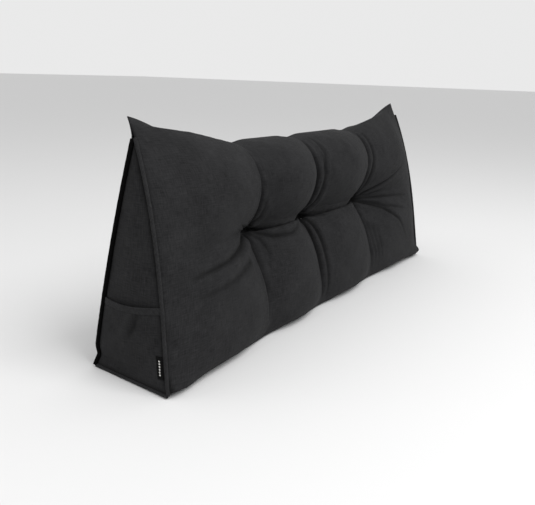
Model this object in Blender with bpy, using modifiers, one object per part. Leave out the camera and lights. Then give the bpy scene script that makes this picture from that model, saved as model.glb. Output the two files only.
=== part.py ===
"""Tufted wedge back cushion: a fibre-filled bag in a zipped cover, tufted at three points.

X runs along the cushion, +Y points to the wall behind it and +Z is up. The origin is in the
middle of the base, on the face that rests on the seat. Everything is in metres.
"""
import math

import bmesh
import bpy
from mathutils import Matrix, Vector

# ---------------------------------------------------------------- driving dimensions
LENGTH = 1.200            # over the pipings of the two ends
BASE_DEPTH = 0.200        # front edge to back edge on the seat
SEAM_HEIGHT = 0.430       # top seam at mid length
EAR_RISE = 0.066          # what the top seam gains towards its two ends, the ears
EAR_POWER = 6             # how suddenly it gains it
BACK_SLOPE = 0.163        # the flat back leans forward by this much for each metre up
FOOT_TUCK = 0.012         # how far the front edge of the base is pulled in at mid length

TUFT_X = (-0.268, -0.035, 0.256)
TUFT_Z = 0.230
TUFT_SINK = 0.018         # seat of a tuft, behind the chord of the front
TUFT_FLAT = 0.015         # half width of that seat
TUFT_REACH = 0.130        # how far from it the front is drawn in
CREASE_DEPTH = 0.014
CREASE_WIDTH = 0.045

PLUMP = 0.105             # scale of the front's bulge
END_PLUMP = 0.016         # bulge of the front along the end seams
END_FADE = 0.200          # length over which the one grows into the other
FRONT_TILT = math.radians(14.0)   # the front's own normal, above the horizontal

COVER = 0.0015            # cover cloth with its backing
GAP = 0.0003              # running gap between neighbours
LINER_INSET = 0.0045      # outside of the liner, behind the outside of the cover
LINER = 0.0010
FILL_EASE = 0.0020        # fibre to the inside of the liner
PIPING_RADIUS = 0.0040
PIPING_LIFT = 0.0002      # clearance of the base piping above the seat

BOARD = 0.015             # foam boards behind and below the fibre
BOARD_INSET = LINER_INSET + LINER + GAP
BACK_BOARD_HALF = 0.530   # half its length
BACK_BOARD_SPAN = (0.036, 0.335)   # along the back, up from the base
BASE_BOARD_HALF = 0.570
BASE_BOARD_SPAN = (-0.068, 0.066)  # along Y
BASE_BOARD_LOW = 0.0048

PANEL_FOOT = 0.0025       # lowest edge of the front panel
BACK_FOOT = 0.0035        # and of the back panel and the liner
BASE_MARGIN = 0.004       # base panel to the outline of the base
BACK_CREST = 0.010        # back panel to the top seam

POCKET_TOP = 0.158
POCKET_FOOT = 0.010
POCKET_CLOTH = 0.0012
POCKET_BELLY = 0.009      # how far the pocket stands off the end panel
POCKET_BELLY_RISE = 0.055 # height over which it reaches that
POCKET_SEAM = 0.0055      # pocket edge to the outline of the end
HEM_HEIGHT = 0.014
HEM_CLOTH = 0.0008

LABEL_SIZE = (0.0008, 0.012, 0.040)
LABEL_Z = 0.050
LABEL_ACROSS = 0.14       # share of the pocket's width up to the label's inner edge

BUTTON_RADIUS = 0.011
BUTTON_HEIGHT = 0.007
SEAT_GAP = 0.0007         # button to the cloth, whose seat is slightly twisted
TWINE_RADIUS = 0.0012
TWINE_HOLE = 0.0025
WASHER_RADIUS = 0.011
WASHER_THICKNESS = 0.0025
WASHER_ROOM = 0.001       # washer to the side of its recess
TWINE_END = 0.0048        # board's outer face to the end of the twine, inside the washer's recess

ZIP_UP = 0.050            # middle of the zip, up along the back
ZIP_HALF_LENGTH = 0.545
ZIP_SLOT = 0.0075         # half the width between the two back panels
TAPE_REACH = 0.014
TAPE = 0.0007
COIL_GAP = 0.0006         # half the gap between the coils
COIL_WIDTH = 0.0024
COIL_HEIGHT = 0.0020
SLIDER_LENGTH = 0.011
SLIDER_PLATE = 0.0012
SLIDER_HALF_WIDTH = 0.0042
SLIDER_POST = 0.0003      # half the thickness of the post between the coils
SLIDER_LIP = 0.0004       # lower edge of the slider's walls to the tape side of the coil
SLIDER_REST_X = 0.535
STOP_LENGTH = 0.0025
BAIL_LENGTH = 0.0056
BAIL_HEIGHT = 0.0032
BAIL_WIDTH = 0.0010
BAIL_HOLE = 0.0020
PULL_LENGTH = 0.030
PULL_BAR = 0.0012
PULL_WINDOW = (0.0048, 0.0024)

ROUND_STEPS = 20

CHARCOAL = (0.030, 0.030, 0.032)
BLACK = (0.008, 0.008, 0.009)


# ---------------------------------------------------------------- scene, materials, objects
def clear_scene():
    for old in list(bpy.data.objects):
        bpy.data.objects.remove(old)


def new_collection(name):
    collection = bpy.data.collections.new(name)
    bpy.context.scene.collection.children.link(collection)
    return collection


def principled(name, colour, roughness, metallic=0.0):
    material = bpy.data.materials.new(name)
    material.use_nodes = True
    shader = material.node_tree.nodes["Principled BSDF"]
    shader.inputs["Base Color"].default_value = (*colour, 1.0)
    shader.inputs["Roughness"].default_value = roughness
    shader.inputs["Metallic"].default_value = metallic
    material.diffuse_color = (*colour, 1.0)
    return material


def add_part(name, data, material, parent=None, place=None):
    data.name = name
    data.materials.clear()
    data.materials.append(material)
    part = bpy.data.objects.new(name, data)
    PARTS.objects.link(part)
    part.parent = parent
    if place is not None:
        part.matrix_local = place
    return part


def add_cutter(name, mesh, place=None, parent=None):
    cutter = bpy.data.objects.new(name, mesh)
    CUTTERS.objects.link(cutter)
    cutter.parent = parent
    if place is not None:
        cutter.matrix_local = place
    cutter.hide_render = True
    cutter.display_type = "WIRE"
    return cutter


def boolean(part, other, operation="DIFFERENCE"):
    modifier = part.modifiers.new(other.name, "BOOLEAN")
    modifier.operation = operation
    modifier.object = other


# ---------------------------------------------------------------- mesh makers
def mesh_from(bm, name):
    bmesh.ops.recalc_face_normals(bm, faces=bm.faces)
    mesh = bpy.data.meshes.new(name)
    bm.to_mesh(mesh)
    bm.free()
    return mesh


def box_mesh(low, high):
    low, high = Vector(low), Vector(high)
    bm = bmesh.new()
    size = Matrix.Diagonal((*(high - low), 1.0))
    bmesh.ops.create_cube(bm, size=1.0, matrix=Matrix.Translation((low + high) / 2) @ size)
    return mesh_from(bm, "box")


def rod_mesh(radius, low, high):
    bm = bmesh.new()
    bmesh.ops.create_cone(bm, cap_ends=True, segments=ROUND_STEPS, radius1=radius, radius2=radius,
                          depth=high - low, matrix=Matrix.Translation((0, 0, (low + high) / 2)))
    return mesh_from(bm, "rod")


def outline_mesh(loops, thickness):
    """A flat outline, with any further loops as holes, centred on its own plane."""
    curve = bpy.data.curves.new("outline", "CURVE")
    curve.dimensions = "2D"
    curve.fill_mode = "BOTH"
    curve.extrude = thickness / 2
    for loop in loops:
        spline = curve.splines.new("POLY")
        spline.points.add(len(loop) - 1)
        spline.use_cyclic_u = True
        for point, (across, up) in zip(spline.points, loop):
            point.co = (across, up, 0.0, 1.0)
    drawn = bpy.data.objects.new("outline", curve)
    bpy.context.scene.collection.objects.link(drawn)
    depsgraph = bpy.context.evaluated_depsgraph_get()
    mesh = bpy.data.meshes.new_from_object(drawn.evaluated_get(depsgraph))
    bpy.data.objects.remove(drawn)
    bm = bmesh.new()
    bm.from_mesh(mesh)
    bmesh.ops.remove_doubles(bm, verts=bm.verts, dist=1e-6)
    bpy.data.meshes.remove(mesh)
    return mesh_from(bm, "outline")


def rectangle(low, high):
    return [(low[0], low[1]), (high[0], low[1]), (high[0], high[1]), (low[0], high[1])]


def tube_curve(points, radius):
    curve = bpy.data.curves.new("tube", "CURVE")
    curve.dimensions = "3D"
    curve.bevel_depth = radius
    curve.bevel_resolution = 2
    curve.use_fill_caps = True
    spline = curve.splines.new("POLY")
    spline.points.add(len(points) - 1)
    for point, place in zip(spline.points, points):
        point.co = (*place, 1.0)
    return curve


def sheet_mesh(columns, thickness):
    """A sheet of cloth through columns of points, thickened along one vector."""
    bm = bmesh.new()
    count_across, count_up = len(columns) - 1, len(columns[0]) - 1
    bmesh.ops.create_grid(bm, x_segments=count_across, y_segments=count_up, size=0.5)
    for vert in bm.verts:
        across = round((vert.co.x + 0.5) * count_across)
        up = round((vert.co.y + 0.5) * count_up)
        vert.co = columns[across][up]
    grown = bmesh.ops.extrude_face_region(bm, geom=bm.faces[:])
    moved = [item for item in grown["geom"] if isinstance(item, bmesh.types.BMVert)]
    bmesh.ops.translate(bm, verts=moved, vec=thickness)
    return mesh_from(bm, "sheet")


def loft_mesh(rings):
    """A closed body through rings of points, with a flat cap at each end."""
    bm = bmesh.new()
    rows = [[bm.verts.new(point) for point in ring] for ring in rings]
    for row, after in zip(rows, rows[1:]):
        for i in range(len(row)):
            j = (i + 1) % len(row)
            bm.faces.new((row[i], row[j], after[j], after[i]))
    bm.faces.new(rows[0])
    bm.faces.new(rows[-1])
    return mesh_from(bm, "loft")


# ---------------------------------------------------------------- the form of the cushion
FRONT_NORMAL = Vector((0.0, -math.cos(FRONT_TILT), math.sin(FRONT_TILT)))
BACK_COS = 1.0 / math.hypot(1.0, BACK_SLOPE)
BACK_NORMAL = Vector((0.0, BACK_COS, BACK_SLOPE * BACK_COS))


def smooth(t):
    t = min(max(t, 0.0), 1.0)
    return t * t * (3.0 - 2.0 * t)


def back_y(z):
    return BASE_DEPTH / 2 - BACK_SLOPE * z


def seam_height(x):
    return SEAM_HEIGHT + EAR_RISE * abs(2 * x / LENGTH) ** EAR_POWER


def front_foot(x):
    return -BASE_DEPTH / 2 + FOOT_TUCK * (1.0 - (2 * x / LENGTH) ** 2)


def bulge(x, z):
    """How far the front stands off its chord at this place on the chord."""
    v = min(max(z / seam_height(x), 0.0), 1.0)
    plump = PLUMP * v ** 0.8 * (1.0 - v ** 8)
    at_end = END_PLUMP * math.sin(math.pi * v) ** 0.8
    inward = math.sin(math.pi / 2 * min((LENGTH / 2 - abs(x)) / END_FADE, 1.0))
    level = at_end + (plump - at_end) * inward
    for tuft in TUFT_X:
        level -= CREASE_DEPTH * math.exp(-((x - tuft) / CREASE_WIDTH) ** 2) * math.sin(math.pi * v)
    for tuft in TUFT_X:
        from_seat = math.hypot(x - tuft, z - TUFT_Z) - TUFT_FLAT * math.sqrt(2.0)
        pull = 1.0 - smooth(from_seat / (TUFT_REACH - TUFT_FLAT))
        level += (-TUFT_SINK - level) * pull
    return level


def front_point(x, z, inset=0.0):
    top = seam_height(x)
    chord = front_foot(x) + (back_y(top) - front_foot(x)) * z / top
    return Vector((x, chord, z)) + FRONT_NORMAL * (bulge(x, z) - inset)


def last_level(low, high, holds):
    """The highest level between low and high up to which the condition holds."""
    for _ in range(40):
        middle = (low + high) / 2
        low, high = (middle, high) if holds(middle) else (low, middle)
    return low


def front_levels(x, inset, base_z, back_inset):
    """Chord heights of the front's rows, from its foot to where it meets the back."""
    def below_base(level):
        return front_point(x, level, inset).z < base_z

    def before_back(level):
        point = front_point(x, level, inset)
        return (back_y(point.z) - point.y) * BACK_COS > back_inset

    foot = last_level(0.0, TUFT_Z - TUFT_REACH, below_base)
    top = last_level(TUFT_Z + TUFT_REACH, seam_height(x), before_back)
    steps = (TUFT_FLAT, 0.045, 0.085, TUFT_REACH)
    rows = [foot, (foot + TUFT_Z - TUFT_REACH) / 2]
    rows += [TUFT_Z - step for step in reversed(steps)]
    rows += [TUFT_Z + step for step in steps]
    for part in (0.87, 0.93, 0.97):
        rows.append(min(part * seam_height(x), (rows[-1] + 2 * top) / 3))
    rows.append(top)
    return rows


def front_column(x, inset, base_z, back_inset):
    levels = front_levels(x, inset, base_z, back_inset)
    return [front_point(x, z, inset) for z in levels]


def section(x, inset, base_z, back_inset):
    """The outline of the cushion across X: up the front and down the back."""
    ring = front_column(x, inset, base_z, back_inset)
    ring.append(Vector((x, back_y(base_z) - back_inset / BACK_COS, base_z)))
    return ring


def stations(half_length):
    """Places along X, close together at the tufts."""
    steps = (TUFT_FLAT, 0.045, 0.085)
    places = {tuft + sign * step for tuft in TUFT_X for step in steps for sign in (-1, 1)}
    places |= {(left + right) / 2 for left, right in zip(TUFT_X, TUFT_X[1:])}
    for sign, outer in ((-1, -TUFT_X[0]), (1, TUFT_X[-1])):
        last = half_length - outer
        places |= {sign * (outer + last * part) for part in (0.45, 0.6, 0.75, 0.88, 1.0)}
    return sorted(places)


def bag_mesh(inset, base_z, back_inset, half_length):
    return loft_mesh([section(x, inset, base_z, back_inset) for x in stations(half_length)])


# ---------------------------------------------------------------- the pieces
def make_front_panel(cloth):
    half = LENGTH / 2 - 2 * PIPING_RADIUS - GAP
    columns = [front_column(x, 0.0, PANEL_FOOT, PANEL_FOOT) for x in stations(half)]
    panel = add_part("front_panel", sheet_mesh(columns, -FRONT_NORMAL * COVER), cloth)
    for hole in TWINE_HOLES:
        boolean(panel, hole)


def back_sheet(low, high_at, half):
    """Columns of points on the back's outer face, in its own frame."""
    return [[(-x, low, 0.0), (-x, high_at(x), 0.0)] for x in stations(half)]


def make_back_panels(cloth):
    half = LENGTH / 2 - 2 * PIPING_RADIUS - GAP
    inward = Vector((0.0, 0.0, -COVER))
    lower = back_sheet(BACK_FOOT, lambda x: ZIP_UP - ZIP_SLOT, half)
    upper = back_sheet(ZIP_UP + ZIP_SLOT, lambda x: seam_height(x) / BACK_COS - BACK_CREST, half)
    add_part("back_panel_lower", sheet_mesh(lower, inward), cloth, BACK)
    add_part("back_panel_upper", sheet_mesh(upper, inward), cloth, BACK)


def make_base_panel(cloth):
    half = LENGTH / 2 - 2 * PIPING_RADIUS - GAP
    columns = [[(x, front_foot(x) + BASE_MARGIN, 0.0), (x, BASE_DEPTH / 2 - BASE_MARGIN, 0.0)]
               for x in stations(half)]
    add_part("base_panel", sheet_mesh(columns, Vector((0.0, 0.0, COVER))), cloth)


def end_outline(inset, base_z):
    """The outline of an end as (y, z), inside the line of its piping."""
    x = LENGTH / 2 - PIPING_RADIUS
    return [(point.y, point.z) for point in section(x, inset, base_z, inset)]


END_TURN = Matrix.Rotation(math.radians(90), 4, "Z") @ Matrix.Rotation(math.radians(90), 4, "X")


def make_end_panels(cloth):
    inset = COVER / 2 + PIPING_RADIUS + GAP
    outline = end_outline(inset, 2 * PIPING_RADIUS + PIPING_LIFT + GAP)
    for side, sign in (("left", -1), ("right", 1)):
        place = Matrix.Translation((sign * (LENGTH / 2 - PIPING_RADIUS), 0, 0)) @ END_TURN
        add_part("end_panel_" + side, outline_mesh([outline], COVER), cloth, place=place)


def make_pipings(grey_cord, black_cord):
    depth = COVER / 2
    top = LENGTH / 2 - PIPING_RADIUS
    low = PIPING_RADIUS + PIPING_LIFT
    corner = 2 * PIPING_RADIUS + GAP
    for side, sign in (("left", -1), ("right", 1)):
        x = sign * top
        front = front_column(x, depth, low + corner, PIPING_RADIUS)
        add_part("piping_front_" + side, tube_curve(front, PIPING_RADIUS), grey_cord)
        crown = front_column(x, depth, low, depth + 4.4 * PIPING_RADIUS)[-1].z
        count = 9
        back = []
        for i in range(count):
            z = low + corner + (crown - low - corner) * i / (count - 1)
            back.append((x, back_y(z) - depth / BACK_COS, z))
        add_part("piping_back_" + side, tube_curve(back, PIPING_RADIUS), black_cord)
        base = [(x, front_foot(x) + depth + PIPING_RADIUS, low),
                (x, 0.0, low),
                (x, BASE_DEPTH / 2 - depth - PIPING_RADIUS, low)]
        add_part("piping_base_" + side, tube_curve(base, PIPING_RADIUS), grey_cord)


def pocket_edges(z):
    """The pocket's front and back edge at this height, inside the pipings."""
    x = LENGTH / 2 - PIPING_RADIUS
    front = front_point(x, z, POCKET_SEAM).y
    back = back_y(z) - POCKET_SEAM / BACK_COS
    return front, back


def pocket_point(across, z, lift):
    front, back = pocket_edges(z)
    rise = smooth((z - POCKET_FOOT) / POCKET_BELLY_RISE)
    belly = POCKET_BELLY * math.sin(math.pi * across) ** 0.8 * rise
    face = LENGTH / 2 - PIPING_RADIUS + COVER / 2 + GAP
    return Vector((-(face + belly + lift), front + (back - front) * across, z))


def make_pocket(cloth):
    count = 12
    rows = 8
    columns = [[pocket_point(i / count, POCKET_FOOT + (POCKET_TOP - POCKET_FOOT) * j / rows, 0.0)
                for j in range(rows + 1)] for i in range(count + 1)]
    add_part("side_pocket", sheet_mesh(columns, Vector((-POCKET_CLOTH, 0, 0))), cloth)
    lift = POCKET_CLOTH + GAP
    columns = [[pocket_point(i / count, z, lift) for z in (POCKET_TOP - HEM_HEIGHT, POCKET_TOP)]
               for i in range(count + 1)]
    add_part("pocket_hem", sheet_mesh(columns, Vector((-HEM_CLOTH, 0, 0))), cloth)


def make_label(cloth):
    thick, wide, tall = LABEL_SIZE
    front, _ = pocket_edges(LABEL_Z + tall / 2)
    outer = pocket_point(LABEL_ACROSS, LABEL_Z + tall / 2, POCKET_CLOTH + GAP).x
    mesh = box_mesh((outer - thick, front, LABEL_Z - tall / 2),
                    (outer, front + wide, LABEL_Z + tall / 2))
    add_part("side_label", mesh, cloth)


def tuft_frame(x):
    """Frame on a tuft's seat, with its z axis out of the front."""
    seat = front_point(x, TUFT_Z)
    turn = FRONT_NORMAL.to_track_quat("Z", "X").to_matrix().to_4x4()
    return Matrix.Translation(seat) @ turn


def board_depth_along(x):
    """Distance from a tuft's seat, into the fill, to the outer face of the back board."""
    seat = front_point(x, TUFT_Z)
    to_board = (back_y(seat.z) - seat.y) * BACK_COS - BOARD_INSET
    return to_board / -FRONT_NORMAL.dot(BACK_NORMAL)


def make_twine_holes():
    holes = []
    for i, x in enumerate(TUFT_X):
        mesh = rod_mesh(TWINE_HOLE, -board_depth_along(x) - 0.002, 0.004)
        holes.append(add_cutter("twine_hole_%d" % i, mesh, tuft_frame(x)))
    return holes


def anchor_place(x):
    """Frame of a tuft's washer, on the back board's outer face."""
    point = front_point(x, TUFT_Z) - FRONT_NORMAL * (board_depth_along(x) - 0.001)
    up = (point - BACK.matrix_world.translation).dot(BACK.matrix_world.col[1].xyz)
    return Matrix.Translation((-x, up, -BOARD_INSET))


def make_tufts(button_cloth, twine, washer_plastic):
    for side, x in zip(("left", "centre", "right"), TUFT_X):
        frame = tuft_frame(x)
        profile = bpy.data.meshes.new("profile")
        rim = BUTTON_HEIGHT * 0.35
        steps = 5
        points = [(0.0, 0.0, BUTTON_HEIGHT)]
        for i in range(1, steps + 1):
            angle = math.pi / 2 * (1.0 - i / steps)
            points.append((BUTTON_RADIUS * math.cos(angle), 0.0,
                           rim + (BUTTON_HEIGHT - rim) * math.sin(angle)))
        points += [(BUTTON_RADIUS * 0.9, 0.0, SEAT_GAP), (0.0, 0.0, SEAT_GAP)]
        profile.from_pydata(points, [(i, i + 1) for i in range(len(points) - 1)], [])
        button = add_part("tuft_button_" + side, profile, button_cloth, place=frame)
        turn = button.modifiers.new("turn", "SCREW")
        turn.steps = ROUND_STEPS
        turn.render_steps = ROUND_STEPS
        turn.use_merge_vertices = True
        turn.merge_threshold = 0.00001
        deep = board_depth_along(x) - TWINE_END
        add_part("tuft_twine_" + side, rod_mesh(TWINE_RADIUS, -deep, 0.0), twine, place=frame)
        washer = rod_mesh(WASHER_RADIUS, -GAP - WASHER_THICKNESS, -GAP)
        add_part("tuft_washer_" + side, washer, washer_plastic, BACK, anchor_place(x))


def make_inside(liner_cloth, fibre, foam):
    half = LENGTH / 2 - 2 * PIPING_RADIUS - LINER
    liner = add_part("inner_liner", bag_mesh(LINER_INSET, BACK_FOOT, LINER_INSET, half), liner_cloth)
    inner = LINER_INSET + LINER
    hollow = add_cutter("liner_hollow", bag_mesh(inner, BACK_FOOT + LINER, inner, half - LINER))
    boolean(liner, hollow)
    for hole in TWINE_HOLES:
        boolean(liner, hole)

    fill_inset = inner + FILL_EASE
    fill = add_part("fibre_fill", bag_mesh(fill_inset, BASE_BOARD_LOW, fill_inset, half - 3 * LINER), fibre)
    behind = box_mesh((-1, -0.2, -BOARD_INSET - BOARD - GAP), (1, 0.8, 0.2))
    boolean(fill, add_cutter("behind_fill", behind, parent=BACK))
    below = box_mesh((-1, -0.3, -0.1), (1, 0.3, BASE_BOARD_LOW + BOARD + GAP))
    boolean(fill, add_cutter("below_fill", below))
    for hole in TWINE_HOLES:
        boolean(fill, hole)

    back_board = box_mesh((-BACK_BOARD_HALF, BACK_BOARD_SPAN[0], -BOARD_INSET - BOARD),
                          (BACK_BOARD_HALF, BACK_BOARD_SPAN[1], -BOARD_INSET))
    board = add_part("back_board", back_board, foam, BACK)
    for hole, x in zip(TWINE_HOLES, TUFT_X):
        boolean(board, hole)
        recess = rod_mesh(WASHER_RADIUS + WASHER_ROOM, -WASHER_THICKNESS - 0.5 * WASHER_ROOM - GAP,
                          2 * WASHER_ROOM)
        boolean(board, add_cutter(hole.name + "_recess", recess, anchor_place(x), BACK))
    base_board = box_mesh((-BASE_BOARD_HALF, BASE_BOARD_SPAN[0], BASE_BOARD_LOW),
                          (BASE_BOARD_HALF, BASE_BOARD_SPAN[1], BASE_BOARD_LOW + BOARD))
    add_part("base_board", base_board, foam)


def make_zip(tape_cloth, coil_plastic, metal):
    tape_top = -COVER - GAP
    coil_low = tape_top + GAP
    coil_high = coil_low + COIL_HEIGHT
    for side, sign in (("upper", 1), ("lower", -1)):
        tape = sorted((sign * COIL_GAP, sign * TAPE_REACH))
        mesh = box_mesh((-ZIP_HALF_LENGTH - 0.008, ZIP_UP + tape[0], tape_top - TAPE),
                        (ZIP_HALF_LENGTH + 0.008, ZIP_UP + tape[1], tape_top))
        add_part("zip_tape_" + side, mesh, tape_cloth, BACK)
        coil = sorted((sign * COIL_GAP, sign * (COIL_GAP + COIL_WIDTH)))
        mesh = box_mesh((-ZIP_HALF_LENGTH, ZIP_UP + coil[0], coil_low),
                        (ZIP_HALF_LENGTH, ZIP_UP + coil[1], coil_high))
        add_part("zip_coil_" + side, mesh, coil_plastic, BACK)
    reach = COIL_GAP + COIL_WIDTH
    for name, sign in (("zip_stop_closed", -1), ("zip_stop_open", 1)):
        ends = sorted((sign * (ZIP_HALF_LENGTH + GAP), sign * (ZIP_HALF_LENGTH + STOP_LENGTH)))
        mesh = box_mesh((ends[0], ZIP_UP - reach, coil_low), (ends[1], ZIP_UP + reach, coil_high))
        add_part(name, mesh, metal, BACK)

    top_low = coil_high + GAP
    top_high = top_low + SLIDER_PLATE
    bottom_high = tape_top - TAPE - GAP
    bottom_low = bottom_high - SLIDER_PLATE
    wall = reach + GAP
    wide = SLIDER_HALF_WIDTH
    lip = coil_low + SLIDER_LIP
    half_profile = [(SLIDER_POST, bottom_high), (wide, bottom_high), (wide, bottom_low)]
    upper_half = [(wide, top_high), (wide, lip), (wall, lip), (wall, top_low),
                  (SLIDER_POST, top_low)]
    profile = upper_half + half_profile
    profile += [(-across, up) for across, up in reversed(profile)]
    slider = add_part("zip_slider", outline_mesh([profile], SLIDER_LENGTH), metal, BACK,
                      Matrix.Translation((-SLIDER_REST_X, ZIP_UP, 0)) @ END_TURN)
    bail = outline_mesh([rectangle((-BAIL_LENGTH / 2, -0.0004), (BAIL_LENGTH / 2, BAIL_HEIGHT)),
                         rectangle((-BAIL_HOLE / 2, 0.0003), (BAIL_HOLE / 2, 0.0003 + BAIL_HOLE))],
                        BAIL_WIDTH)
    bail_place = Matrix.Translation((-SLIDER_REST_X, ZIP_UP, top_high))
    bail_place = bail_place @ Matrix.Rotation(math.radians(90), 4, "X")
    boolean(slider, add_cutter("slider_bail", bail, bail_place, BACK), "UNION")

    window_end, window_wide = PULL_WINDOW
    bar = PULL_BAR / 2
    outer = [(-bar, -0.0025), (0.008, -0.0025), (0.012, -0.0034), (PULL_LENGTH - 0.002, -0.0034)]
    outer += [(PULL_LENGTH, -0.0014), (PULL_LENGTH, 0.0014)]
    outer += [(across, -up) for across, up in reversed(outer[:4])]
    window = rectangle((bar, -window_wide / 2), (window_end, window_wide / 2))
    place = Matrix.Translation((-SLIDER_REST_X, ZIP_UP, top_high + 0.0003 + BAIL_HOLE / 2))
    add_part("zip_pull", outline_mesh([outer, window], PULL_BAR), metal, BACK, place)


clear_scene()
PARTS = new_collection("tufted_wedge_cushion")
CUTTERS = new_collection("cutters")

BACK = bpy.data.objects.new("back_plane", None)
PARTS.objects.link(BACK)
BACK.matrix_world = Matrix((
    (-1.0, 0.0, 0.0, 0.0),
    (0.0, -BACK_SLOPE * BACK_COS, BACK_COS, BASE_DEPTH / 2),
    (0.0, BACK_COS, BACK_SLOPE * BACK_COS, 0.0),
    (0.0, 0.0, 0.0, 1.0)))
bpy.context.view_layer.update()

TWINE_HOLES = make_twine_holes()

linen = principled("charcoal_linen", CHARCOAL, 0.9)
make_front_panel(linen)
make_back_panels(linen)
make_base_panel(linen)
make_end_panels(linen)
make_pipings(principled("charcoal_piping", CHARCOAL, 0.85), principled("black_piping", BLACK, 0.9))
make_pocket(principled("pocket_linen", CHARCOAL, 0.9))
make_label(principled("woven_label", BLACK, 0.7))
make_tufts(principled("button_linen", CHARCOAL, 0.9),
           principled("waxed_twine", (0.35, 0.31, 0.24), 0.7),
           principled("clear_washer", (0.5, 0.5, 0.48), 0.4))
make_inside(principled("nonwoven_liner", (0.75, 0.75, 0.72), 0.9),
            principled("polyester_fibre", (0.85, 0.85, 0.83), 0.95),
            principled("foam_board", (0.80, 0.80, 0.78), 0.6))
make_zip(principled("zip_tape", BLACK, 0.85),
         principled("nylon_coil", BLACK, 0.45),
         principled("zinc_alloy", (0.02, 0.02, 0.022), 0.35, 0.9))
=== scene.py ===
"""The looks of a tufted wedge back cushion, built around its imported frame.

The cover is cut and sewn from flat panels. The front and the two ends are simulated as cloth
under the push of the filling, held along their seams and at the tufts. The back, the base and
the pocket are drawn between their seams. Everything is in metres.
"""
import math

import bmesh
import bpy
import numpy as np
from mathutils import Matrix, Vector, noise


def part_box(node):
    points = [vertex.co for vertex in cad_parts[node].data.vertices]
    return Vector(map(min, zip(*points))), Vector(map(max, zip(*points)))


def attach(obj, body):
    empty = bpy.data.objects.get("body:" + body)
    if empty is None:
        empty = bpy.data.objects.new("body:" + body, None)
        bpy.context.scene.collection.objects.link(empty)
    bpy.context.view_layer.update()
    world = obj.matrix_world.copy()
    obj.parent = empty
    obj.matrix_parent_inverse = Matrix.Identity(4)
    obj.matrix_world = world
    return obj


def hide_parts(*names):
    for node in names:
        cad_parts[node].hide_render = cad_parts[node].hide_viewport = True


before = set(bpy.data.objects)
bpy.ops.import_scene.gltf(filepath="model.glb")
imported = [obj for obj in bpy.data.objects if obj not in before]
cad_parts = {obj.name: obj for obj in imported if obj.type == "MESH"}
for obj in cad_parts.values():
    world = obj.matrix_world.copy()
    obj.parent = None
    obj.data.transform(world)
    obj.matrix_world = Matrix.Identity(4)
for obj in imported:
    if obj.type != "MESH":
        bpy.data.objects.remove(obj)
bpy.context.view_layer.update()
BODY = "cushion"
MM = 0.001


# ---------------------------------------------------------------- places taken from the frame
def centre(node):
    low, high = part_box(node)
    return (Vector(low) + Vector(high)) / 2


PIPING = 3.6 * MM
BLACK_PIPING = 4.8 * MM
CLOTH = 1.5 * MM

front_high = Vector(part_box("piping_front_left")[1])
back_high = Vector(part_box("piping_back_left")[1])
SEAM_X = centre("piping_front_left").x
FOOT = Vector((SEAM_X - 0.014, -0.0995, 0.0065))
HEEL = Vector((SEAM_X - 0.0015, back_high.y - 0.0015, 0.0050))
EAR = Vector((SEAM_X + 0.022, front_high.y, front_high.z + 0.001))
APEX = EAR + Vector((0.0, -0.018, -0.036))
TUFTS = [centre("tuft_button_" + side) for side in ("left", "centre", "right")]
SEATS = [tuft + Vector((0.0, sink * MM, lift * MM))
         for tuft, sink, lift in zip(TUFTS, (4, 9, 5), (9, -2, 0))]
SEAM_MIDDLE = Vector((0.0, 0.031, 0.425))
UPPER_LOW, UPPER_HIGH = (Vector(c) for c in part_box("back_panel_upper"))
LOWER_LOW, LOWER_HIGH = (Vector(c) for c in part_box("back_panel_lower"))
BACK_SLOPE = (UPPER_HIGH.y - UPPER_LOW.y) / (UPPER_HIGH.z - UPPER_LOW.z)
BACK_UP = Vector((0.0, -0.161, 0.987))      # up the flat back
BACK_OUT = Vector((0.0, 0.987, 0.161))      # and straight out of it
ZIP_MIDDLE = (UPPER_LOW.z + LOWER_HIGH.z) / 2
ZIP_HALF = -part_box("zip_tape_upper")[0][0]

APEX_SHARE = 0.93         # how far up the side seam of the front the end panel reaches
PATTERN_WIDTH = 1.310     # the front as cut, at the tuft row
PATTERN_SEAM = 1.205      # and along its top and bottom
PATTERN_HEIGHT = 0.560
PATTERN_TUFT = 0.480      # share of that height below the tuft row


# ---------------------------------------------------------------- seam lines
def mirrored(point):
    return Vector((-point.x, point.y, point.z))


def near_tuft(x, width):
    return sum(math.exp(-((x - tuft.x) / width) ** 2) for tuft in TUFTS)


def side_seam(start, out, bow, skew, t):
    """From a foot up to the apex, bowed outwards, and on up to the tip of the ear."""
    if t > APEX_SHARE:
        return APEX.lerp(EAR, (t - APEX_SHARE) / (1.0 - APEX_SHARE))
    t /= APEX_SHARE
    lean = t ** skew
    return start.lerp(APEX, t) + out * bow * 4.0 * lean * (1.0 - lean)


def front_seam(t):
    return side_seam(FOOT, Vector((0.0, -0.98, 0.20)), 16 * MM, 1.3, t)


def back_seam(t):
    point = side_seam(HEEL, Vector((0.0, 0.97, 0.24)), 7 * MM, 1.0, t)
    pinch = math.exp(-((t - 0.045) / 0.03) ** 2)
    return point + Vector((5 * MM, -3 * MM, 0.0)) * pinch


def top_seam(s):
    """From the left ear to the right one, sagging between them."""
    x = EAR.x * (1.0 - 2.0 * s)
    out = abs(2.0 * s - 1.0)
    tip = max(0.0, (out - 0.68) / 0.32)
    rise = 0.5 * out ** 3.8 + 0.5 * tip * tip * (3.0 - 2.0 * tip)
    z = SEAM_MIDDLE.z + (EAR.z - SEAM_MIDDLE.z) * rise - 6 * MM * near_tuft(x, 0.03)
    y = SEAM_MIDDLE.y + (EAR.y - SEAM_MIDDLE.y) * out ** 4
    return Vector((x, y, z))


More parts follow.
